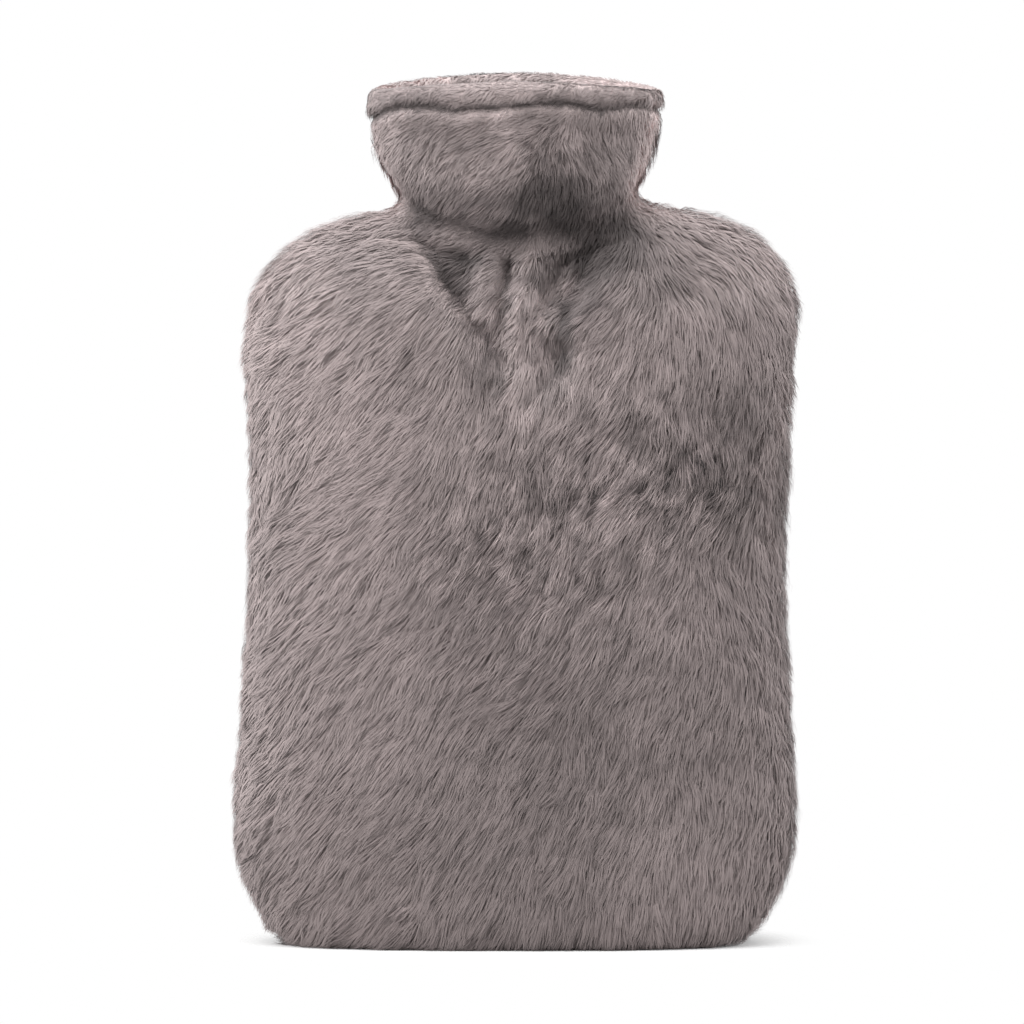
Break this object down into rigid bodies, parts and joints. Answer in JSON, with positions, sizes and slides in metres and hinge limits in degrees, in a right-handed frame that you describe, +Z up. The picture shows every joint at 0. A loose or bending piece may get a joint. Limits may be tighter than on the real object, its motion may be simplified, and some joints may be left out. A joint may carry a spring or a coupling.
{
  "type": "hot water bottle cover",
  "caption": "Plush pouch with rounded shoulders, a gathered neck and an open funnel collar with a stitched hem, standing on its flat base.",
  "frame": {"origin": "middle of the flat base, halfway between the two side seams and between front and back", "axes": "+Z up to the mouth, +X along the width to the right side as seen from the front, -Y the front with the gathered V"},
  "size_m": [0.22, 0.0714, 0.34],
  "materials": {
    "fur_cloth": "long soft pile, taupe grey, paler at the tips"
  },
  "bodies": {
    "root": {"front_panel": "fur_cloth", "back_panel": "fur_cloth"}
  },
  "joints": []
}
